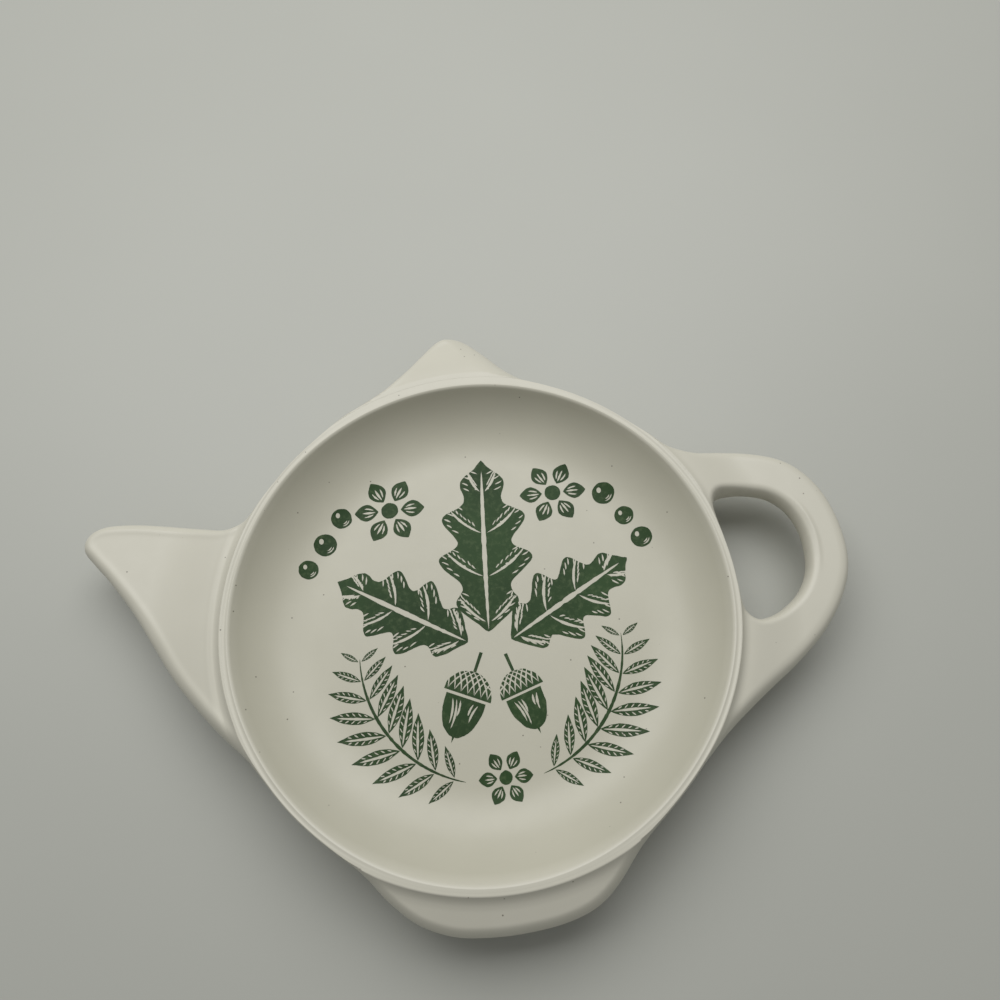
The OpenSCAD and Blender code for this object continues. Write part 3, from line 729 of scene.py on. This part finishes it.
def cut_film(inks, cuts, gap=1.0):
    """A flat film of the inked outlines without the cut ones: points and faces. Points of a
    grid let it follow the floor, and it has no triangles that hang on by a corner alone."""
    every = inks + cuts
    low, high = np.vstack(inks).min(0), np.vstack(inks).max(0)
    off_line = 0.013
    grid = np.meshgrid(np.arange(low[0], high[0], gap), np.arange(low[1], high[1], gap))
    grid = np.stack(grid, 2).reshape(-1, 2)
    grid = grid[np.any([within(grid, o) for o in inks], 0)] + off_line
    points = np.vstack(every + [grid])
    sides, first = [], 0
    for outline in every:
        ring = np.arange(len(outline)) + first
        sides += np.stack([ring, np.roll(ring, -1)], 1).tolist()
        first += len(outline)
    made = delaunay_2d_cdt([Vector(p) for p in points.tolist()], sides, [], 0, 1e-4)
    flat = np.array([tuple(v) for v in made[0]])
    tris = np.array([f for f in made[2] if len(f) == 3])
    middle = flat[tris].mean(1)
    keep = np.any([within(middle, o) for o in inks], 0)
    for outline in cuts:
        keep &= ~within(middle, outline)
    a, b, c = flat[tris[:, 0]], flat[tris[:, 1]], flat[tris[:, 2]]
    area = (b[:, 0] - a[:, 0]) * (c[:, 1] - a[:, 1]) - (b[:, 1] - a[:, 1]) * (c[:, 0] - a[:, 0])
    tris = np.where(area[:, None] > 0, tris, tris[:, ::-1])[keep & (np.abs(area) > 1e-7)]
    pinched = np.array([0])
    while len(pinched):
        used, tris = np.unique(tris, return_inverse=True)
        flat, tris = flat[used], tris.reshape(-1, 3)
        n = len(flat)
        edges = np.concatenate([tris[:, [0, 1]], tris[:, [1, 2]], tris[:, [2, 0]]])
        code = edges[:, 0] * n + edges[:, 1]
        rim = edges[~np.isin(code, edges[:, 1] * n + edges[:, 0])]
        pinched = np.flatnonzero(np.bincount(rim.ravel(), minlength=n) > 2)
        tris = tris[~np.isin(tris, pinched).any(1)]
    skirt = np.stack([rim[:, 1], rim[:, 0], rim[:, 0] + n, rim[:, 1] + n], 1)
    points = np.vstack([np.column_stack([flat, np.full(n, FILM_TOP)]),
                        np.column_stack([flat, np.full(n, FILM_FOOT)])])
    return points, tris.tolist() + (tris[:, ::-1] + n).tolist() + skirt.tolist()


def laid(name, points, faces, node):
    """Lays a flat film on the floor of the well."""
    points = points.copy()
    points[:, 2] += np.interp(np.hypot(points[:, 0], points[:, 1]), floor_r, floor_z)
    made = piece(name, points, faces, ink, "ink", node)
    made.data.set_sharp_from_angle(angle=math.radians(40))


def roughened(outline, amount=0.07):
    """An outline with the slightly uneven edge that a knife leaves."""
    noise = hand.standard_normal((len(outline), 2))
    return outline + amount * (noise + np.roll(noise, 1, 0) + np.roll(noise, -1, 0)) / 3


def sprig_part(name, node, parts):
    """One piece of film from several motifs, each with its place and turn."""
    inks, cuts = [], []
    for (ink_lines, cut_lines), x, y, turn in parts:
        inks += placed(ink_lines, x, y, turn)
        cuts += placed(cut_lines, x, y, turn)
    laid(name, *cut_film(inks, cuts), node)


def both_sides(reach, half):
    """A closed outline along +X from its half widths."""
    return np.vstack([np.column_stack([reach, half]), np.column_stack([reach, -half])[-2:0:-1]])


# Oak leaves: one long and two shorter ones of the fired film, fanned out from the middle of
# the well. Each has its lobes, a midrib, a vein for each lobe and fine shading cuts.
def oak_leaf(length, width):
    """The outline and cuts of a lobed leaf along +X."""
    t = np.linspace(0, 1, 120)
    lobe = 0.5 + 0.5 * np.cos(2 * np.pi * 4 * t)
    half = 0.5 * width * np.sin(np.pi * t ** 0.85) ** 0.75 * (1 - 0.42 * lobe)
    reach = length * (t + 0.028 * (1 - lobe) * np.sin(np.pi * t))
    reach = length * reach / reach[-1]
    leaf = roughened(both_sides(reach, half))
    cuts = [gouge(bowed((0.5, 0), (0.93 * length, 0), 0.004, 40), 0.95)]
    for side in (-1, 1):
        for k in range(4):
            root = (k + 0.16) / 4
            out = 0.92 * np.interp((k + 0.62) / 4, t, half)
            start = (length * root + 0.6, side * 0.55)
            end = (length * (root + 0.115) + 0.25 * out, side * out * 0.97)
            cuts.append(gouge(bowed(start, end, side * 0.07, 12), 0.55))
            for j in range(7):
                along = 0.2 + 0.13 * j
                foot = np.array(start) + (np.array(end) - np.array(start)) * along
                for ahead in (-1, 1):
                    tip = foot + [ahead * 0.9 + 0.75, side * (0.8 if ahead > 0 else 0.55)]
                    foot_off = foot + [ahead * 0.45, 0]
                    tip = tip + hand.normal(0, 0.12, 2)
                    cuts.append(gouge(bowed(foot_off, tip, 0.05, 5), 0.3))
            for j in range(5):
                x = length * (root + 0.02 + 0.034 * j) + 0.4
                edge_y = np.interp(x, reach, half)
                if edge_y > 2.4:
                    cuts.append(gouge(bowed((x + 0.5, side * (edge_y - 0.35)),
                                            (x - 0.35, side * (edge_y - 1.5 - hand.random() * 0.7)),
                                            0.04, 5), 0.32))
    return [leaf], cuts


sprig_part("oak_leaf_print", "print_oak_leaves",
           [(oak_leaf(share * PRINT_R, wide * PRINT_R), x, y, turn)
            for x, y, turn, share, wide in ((0.03, -0.1, 87, 0.96, 0.5),
                                            (-0.08, -0.14, 149, 0.76, 0.42),
                                            (0.14, -0.15, 29, 0.74, 0.42))])


# Acorns: two of the fired film, hung by their stalks below the leaves. Each is a nut with a
# few long highlights in a scaly cup.
def acorn(length):
    """The outlines and cuts of an acorn along +X, from its stalk to its tip."""
    cup_end = 0.48 * length
    a = np.linspace(-np.pi / 2, np.pi / 2, 40)
    stalk = np.array([[0, -0.35], [0.5 * cup_end, -0.3], [cup_end, -0.35],
                      [cup_end, 0.35], [0.5 * cup_end, 0.3], [0, 0.35]])
    cup_r, nut_l, nut_w = 0.26 * length, 0.42 * length, 0.22 * length
    cup = np.column_stack([cup_end - cup_r * np.cos(a), 0.265 * length * np.sin(a)])
    nut = np.column_stack([cup_end + 0.55 + nut_l * np.cos(a) ** 0.85, nut_w * np.sin(a)])
    tip = np.array([[cup_end + nut_l * 0.9, -0.5], [cup_end + nut_l + 1.7, 0],
                    [cup_end + nut_l * 0.9, 0.5]])
    cuts = []
    for k in np.linspace(-1.2, 1.2, 9):
        for lean in (-1, 1):
            start = (cup_end - 0.3, 0.25 * length * k)
            end = (cup_end - 1.05 * cup_r, 0.25 * length * (k + 0.75 * lean) * 0.8)
            cuts.append(gouge(bowed(start, end, 0.08 * lean, 10), 0.3))
    for k, reach in ((-0.62, 0.72), (-0.42, 0.82), (-0.22, 0.5), (0.45, 0.4), (0.68, 0.55)):
        start = (cup_end + 1.3, nut_w * k)
        end = (cup_end + 0.6 + nut_l * reach, nut_w * k * (1 - 0.5 * reach))
        cuts.append(gouge(bowed(start, end, -0.06 * np.sign(k), 12), 0.42))
    return [roughened(stalk, 0.03), roughened(cup), roughened(nut), tip], cuts


sprig_part("acorn_print", "print_acorns",
           [(acorn(share * PRINT_R), x, y, turn)
            for x, y, turn, share in ((-0.02, -0.2, 246, 0.46), (0.1, -0.22, 288, 0.42))])


# Fern fronds: two sprays of the fired film, with cut leaflets in pairs along a bent stem. The
# tree below sets them out by rule from one leaflet, and the film is then laid in the well.
def leaflet(length=10, width=2.7):
    """The outline and cuts of a leaflet along +X."""
    t = np.linspace(0, 1, 24)
    half = width / 2 * np.sin(np.pi * t ** 0.9)
    cuts = [gouge(bowed((0.5, 0), (0.84 * length, 0), 0.01, 14), 0.5)]
    for side in (-1, 1):
        for k in range(5):
            x = length * (0.16 + 0.135 * k)
            y = np.interp(x + 0.7, length * t, half)
            cuts.append(gouge(bowed((x, side * 0.42), (x + 0.9, side * (y - 0.12)), 0, 5), 0.26))
    return [roughened(both_sides(length * t, half), 0.04)], cuts


def fresh_object(name, points, faces):
    """An object in millimetres for a tree to work on."""
    mesh = bpy.data.meshes.new(name)
    mesh.from_pydata(np.asarray(points).tolist(), [], faces)
    made = bpy.data.objects.new(name, mesh)
    scene.collection.objects.link(made)
    return made


def plain_mesh(made, tree, **values):
    """The points and faces that a tree makes of an object, which is then removed."""
    rule = made.modifiers.new("rule", "NODES")
    rule.node_group = tree
    for item in tree.interface.items_tree:
        if item.in_out == "INPUT" and item.name in values:
            rule[item.identifier] = values[item.name]
    result = bpy.data.meshes.new_from_object(
        made.evaluated_get(bpy.context.evaluated_depsgraph_get()))
    points = np.empty(len(result.vertices) * 3)
    result.vertices.foreach_get("co", points)
    faces = [list(p.vertices) for p in result.polygons]
    made.modifiers.remove(rule)
    bpy.data.objects.remove(made)
    return points.reshape(-1, 3), faces


def joined(one, other):
    """Two meshes as one, each given as points and faces."""
    first = len(one[0])
    return np.vstack([one[0], other[0]]), one[1] + [[i + first for i in f] for f in other[1]]


def start_tree(name, **values):
    """A new geometry tree with its named inputs; returns it with its input node."""
    tree = bpy.data.node_groups.new(name, "GeometryNodeTree")
    tree.interface.new_socket("Geometry", in_out="OUTPUT", socket_type="NodeSocketGeometry")
    tree.interface.new_socket("Geometry", in_out="INPUT", socket_type="NodeSocketGeometry")
    for key, value in values.items():
        kind = "NodeSocketInt" if isinstance(value, int) else "NodeSocketFloat"
        tree.interface.new_socket(key, in_out="INPUT", socket_type=kind).default_value = value
    return tree, add(tree, "NodeGroupInput")


def finish_tree(tree, instances):
    """Makes the instances real, gives them the ink and hands them out."""
    real = add(tree, "GeometryNodeRealizeInstances", {"Geometry": instances})
    inked = add(tree, "GeometryNodeSetMaterial", {"Geometry": real.outputs[0]})
    inked.inputs["Material"].default_value = ink
    add(tree, "NodeGroupOutput", {"Geometry": inked.outputs[0]})


frond_rule, given = start_tree("frond_rule", Pairs=9, Length=36.0, Bend=-1.3, Tilt=0.98)


# Each row names a value, what is done, and to which values. Leaflets with an even index go to
# the right of the stem, the odd ones to the left, and both are longest near its middle.
frond_sums = [
    ("count", "MULTIPLY", "Pairs", 2),
    ("half_index", "DIVIDE", "index", 2),
    ("pair", "FLOOR", "half_index"),
    ("odd", "MODULO", "index", 2),
    ("twice_odd", "MULTIPLY", "odd", 2),
    ("side", "SUBTRACT", "twice_odd", 1),
    ("place", "ADD", "pair", 0.6),
    ("share", "DIVIDE", "place", "Pairs"),
    ("heading", "MULTIPLY", "Bend", "share"),
    ("sine", "SINE", "heading"),
    ("cosine", "COSINE", "heading"),
    ("bend_r", "DIVIDE", "Length", "Bend"),
    ("stand_off", "MULTIPLY", "side", 0.35),
    ("stem_x", "MULTIPLY", "bend_r", "sine"),
    ("aside_x", "MULTIPLY", "stand_off", "sine"),
    ("x", "SUBTRACT", "stem_x", "aside_x"),
    ("centre_y", "MULTIPLY", "bend_r", "cosine"),
    ("stem_y", "SUBTRACT", "bend_r", "centre_y"),
    ("aside_y", "MULTIPLY", "stand_off", "cosine"),
    ("y", "ADD", "stem_y", "aside_y"),
    ("lean", "MULTIPLY", "side", "Tilt"),
    ("turned_by", "ADD", "heading", "lean"),
    ("swell_turn", "MULTIPLY_ADD", "share", 0.78 * math.pi, 0.14 * math.pi),
    ("swell_sine", "SINE", "swell_turn"),
    ("swell", "POWER", "swell_sine", 0.8),
    ("swollen", "MULTIPLY", "swell", "Length"),
    ("size", "MULTIPLY", "swollen", 0.027)]
found = {key: given.outputs[key] for key in ("Pairs", "Length", "Bend", "Tilt")}
found["index"] = add(frond_rule, "GeometryNodeInputIndex").outputs[0]
for key, operation, *terms in frond_sums:
    inputs = {number: found.get(term, term) for number, term in enumerate(terms)}
    found[key] = add(frond_rule, "ShaderNodeMath", inputs, operation=operation).outputs[0]
spot = add(frond_rule, "ShaderNodeCombineXYZ", {"X": found["x"], "Y": found["y"]})
angle = add(frond_rule, "ShaderNodeCombineXYZ", {"Z": found["turned_by"]})
scale = add(frond_rule, "ShaderNodeCombineXYZ",
            {"X": found["size"], "Y": found["size"], "Z": 1.0})
stem_points = add(frond_rule, "GeometryNodePoints",
                  {"Count": found["count"], "Position": spot.outputs[0]})
set_out = add(frond_rule, "GeometryNodeInstanceOnPoints",
              {"Points": stem_points.outputs[0], "Instance": given.outputs["Geometry"],
               "Rotation": angle.outputs[0], "Scale": scale.outputs[0]})
finish_tree(frond_rule, set_out.outputs[0])

ferns = np.empty((0, 3)), []
for x, y, turn, share, bend in ((-0.15, -0.8, 164, 0.88, -76), (0.22, -0.8, 16, 0.86, 76)):
    length, bend = share * PRINT_R, math.radians(bend)
    blade = fresh_object("leaflet", *cut_film(*leaflet(), gap=1.5))
    leaflets = plain_mesh(blade, frond_rule, Length=length, Bend=bend)
    t = np.linspace(0, 0.97, 60)
    stem = np.stack([np.sin(bend * t), 1 - np.cos(bend * t)], 1) * length / bend
    points, faces = joined(leaflets, cut_film([gouge(stem, 0.62)], []))
    points[:, :2] = placed([points[:, :2]], x, y, turn)[0]
    ferns = joined(ferns, (points, faces))
laid("fern_print", *ferns, "print_ferns")


# Berries: three dots of the fired film on each side, at the start of the well's curl. Each
# has a highlight and two cuts that follow its shade.
def berry(radius):
    """The outline and cuts of a berry."""
    a = np.linspace(0, 2 * np.pi, 40, endpoint=False)
    ring = np.column_stack([radius * np.cos(a), radius * np.sin(a)])
    shine = np.column_stack([0.2 * radius * np.cos(a) - 0.34 * radius,
                             0.26 * radius * np.sin(a) + 0.34 * radius])
    cuts = [shine]
    for k, wide in ((0.55, 1.0), (0.74, 1.25)):
        arc = np.linspace(-0.25 - wide / 2, -0.25 + wide / 2, 12) - 0.6
        line = k * radius * np.column_stack([np.cos(arc), np.sin(arc)])
        cuts.append(gouge(line, 0.26))
    return [roughened(ring, 0.05)], cuts


sprig_part("berry_print", "print_berries",
           [(berry(share * PRINT_R), x, y, 0)
            for x, y, share in ((-0.7, 0.6, 0.055), (-0.79, 0.46, 0.06), (-0.88, 0.33, 0.05),
                                (0.72, 0.58, 0.06), (0.81, 0.44, 0.05), (0.88, 0.31, 0.055))])


# Flowers: three of the fired film, two above and one between the fronds. Each has six cut
# petals round an eye, set out by a second tree from one petal.
def petal(length=10, width=7.4):
    """The outline and cuts of a petal along +X."""
    t = np.linspace(0, 1, 26)
    half = width / 2 * np.sin(np.pi * t) ** 0.9
    cuts = [gouge(bowed((1.2, 0), (0.68 * length, 0), 0.02, 8), 0.9)]
    for side in (-1, 1):
        line = bowed((2.0, side * 0.9), (0.6 * length, side * 1.9), side * 0.06, 8)
        cuts.append(gouge(line, 0.7))
    return [roughened(both_sides(length * t, half), 0.08)], cuts


petal_rule, given = start_tree("petal_rule", Petals=6, Root=1.0, Size=0.5)
ring = add(petal_rule, "GeometryNodeMeshCircle",
           {"Vertices": given.outputs["Petals"], "Radius": given.outputs["Root"]})
step = add(petal_rule, "ShaderNodeMath", {0: 2 * math.pi, 1: given.outputs["Petals"]},
           operation="DIVIDE")
index = add(petal_rule, "GeometryNodeInputIndex").outputs[0]
around = add(petal_rule, "ShaderNodeMath", {0: index, 1: step.outputs[0]}, operation="MULTIPLY")
angle = add(petal_rule, "ShaderNodeCombineXYZ", {"Z": around.outputs[0]})
scale = add(petal_rule, "ShaderNodeCombineXYZ",
            {"X": given.outputs["Size"], "Y": given.outputs["Size"], "Z": 1.0})
set_out = add(petal_rule, "GeometryNodeInstanceOnPoints",
              {"Points": ring.outputs[0], "Instance": given.outputs["Geometry"],
               "Rotation": angle.outputs[0], "Scale": scale.outputs[0]})
finish_tree(petal_rule, set_out.outputs[0])

flowers = np.empty((0, 3)), []
for x, y, share in ((-0.44, 0.62, 0.19), (0.45, 0.62, 0.18), (0.04, -0.8, 0.13)):
    flower_r = share * PRINT_R
    blade = fresh_object("petal", *cut_film(*petal(), gap=1.5))
    petals = plain_mesh(blade, petal_rule, Root=0.32 * flower_r, Size=0.068 * flower_r)
    points, faces = joined(petals, cut_film(berry(0.24 * flower_r)[0], []))
    points[:, :2] += [x * PRINT_R, y * PRINT_R]
    flowers = joined(flowers, (points, faces))
laid("flower_print", *flowers, "print_flowers")
